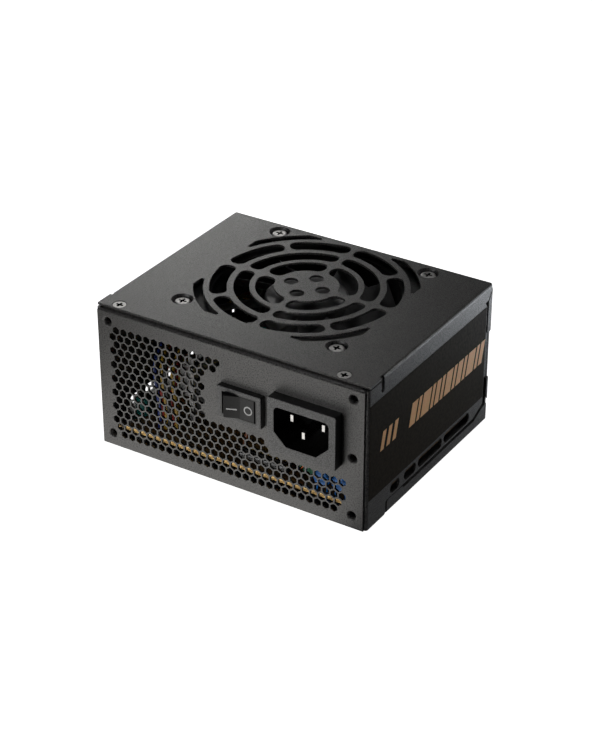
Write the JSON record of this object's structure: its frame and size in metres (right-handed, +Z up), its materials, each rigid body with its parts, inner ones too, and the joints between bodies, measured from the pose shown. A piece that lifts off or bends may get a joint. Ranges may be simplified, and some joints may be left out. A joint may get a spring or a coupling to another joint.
{
  "type": "computer power supply unit",
  "caption": "Compact sheet-metal computer power supply with a top fan grille, honeycomb AC panel, rocker switch, mains inlet and modular output sockets.",
  "frame": {"origin": "centre of the case's bottom face (125 x 100 mm, the inlet's 4.8 mm bezel not counted)", "axes": "+Z up through the fan grille, -Y out of the AC panel with the mains inlet, +X towards the labelled side"},
  "size_m": [0.1251, 0.1058, 0.0635],
  "materials": {
    "case_black": "fine speckled matte powder coat",
    "label_dark": "satin printed film with a copper stripe pattern",
    "screw_nickel": "bright nickel plating",
    "steel": "plain plated steel",
    "inlet_black": "lightly textured moulded plastic",
    "pin_metal": "bright nickel",
    "switch_black": "smooth moulded plastic",
    "fan_black": "semi-gloss moulded plastic",
    "magnet_black": "matte bonded ferrite",
    "bronze": "sintered bronze",
    "lamination": "stacked steel laminations",
    "copper_wire": "enamelled copper",
    "board_tan": "tan laminate with solder mask",
    "board_green": "dark green solder mask",
    "ferrite": "matte grey ferrite",
    "core_green": "epoxy coated core",
    "core_yellow": "epoxy coated core",
    "tape_yellow": "polyester tape",
    "aluminium_sink": "plain rolled aluminium",
    "package_black": "moulded epoxy",
    "sleeve_black": "shrunk sleeve",
    "sleeve_teal": "shrunk sleeve",
    "film_yellow": "moulded film capacitor case",
    "disc_blue": "dipped epoxy",
    "insulation_film": "thin polyester film",
    "socket_black": "moulded nylon",
    "pin_gold": "tinned brass",
    "wire_yellow": "PVC insulation",
    "wire_red": "PVC insulation",
    "wire_blue": "PVC insulation",
    "wire_black": "PVC insulation",
    "wire_brown": "PVC insulation",
    "wire_green": "PVC insulation"
  },
  "bodies": {
    "case": {"cover": "case_black", "base_tray": "case_black", "ac_panel": "case_black", "side_label": "label_dark", "insulation_sheet": "insulation_film", "cover_screws": "screw_nickel", "fan_screws": "screw_nickel", "board_standoffs": "steel", "board_screws": "screw_nickel", "inlet_body": "inlet_black", "inlet_power_pins": "pin_metal", "inlet_earth_pin": "pin_metal", "switch_body": "switch_black", "switch_terminals": "pin_metal", "fan_frame": "fan_black", "fan_bearing": "bronze", "fan_board": "board_green", "stator_core": "lamination", "stator_coils": "copper_wire", "fan_lead": "wire_black", "main_board": "board_tan", "control_board": "board_green", "connector_board": "board_green", "dc_sockets": "socket_black", "socket_pins": "pin_gold", "pfc_choke": "core_yellow", "pfc_winding": "copper_wire", "emi_choke": "core_green", "emi_winding": "copper_wire", "output_choke": "core_yellow", "output_winding": "copper_wire", "bulk_capacitor": "sleeve_black", "output_capacitors": "sleeve_teal", "transformer_core": "ferrite", "transformer_winding": "tape_yellow", "standby_transformer": "tape_yellow", "primary_heatsink": "aluminium_sink", "secondary_heatsink": "aluminium_sink", "power_transistors": "package_black", "output_rectifiers": "package_black", "bridge_rectifier": "package_black", "x_capacitor": "film_yellow", "y_capacitors": "disc_blue", "mains_fuse": "sleeve_black", "line_wires": "wire_brown", "neutral_wire": "wire_blue", "earth_wire": "wire_green", "wires_yellow": "wire_yellow", "wires_red": "wire_red", "wires_blue": "wire_blue", "wires_black": "wire_black"},
    "rotor": {"fan_rotor": "fan_black", "rotor_shaft": "steel", "shaft_clip": "steel", "rotor_yoke": "steel", "rotor_magnet": "magnet_black"},
    "rocker": {"switch_rocker": "switch_black", "switch_plunger": "steel"},
    "contact_lever": {"switch_contact": "bronze"}
  },
  "joints": [
    {"name": "fan_spin", "type": "hinge", "parent": "case", "child": "rotor", "pos_m": [0, 0.008, 0.0528], "axis": [0, 0, 1], "continuous": true},
    {"name": "rocker_tilt", "type": "hinge", "parent": "case", "child": "rocker", "pos_m": [0.0072, -0.0498, 0.0398], "axis": [0, 0, -1], "range_deg": [0, 22]},
    {"name": "contact_tilt", "type": "hinge", "parent": "case", "child": "contact_lever", "pos_m": [0.0072, -0.0425, 0.0398], "axis": [0, 0, -1], "range_deg": [-12, 0]}
  ],
  "couplings": [
    {"joint": "contact_tilt", "follows": "rocker_tilt", "ratio": -0.5454}
  ]
}
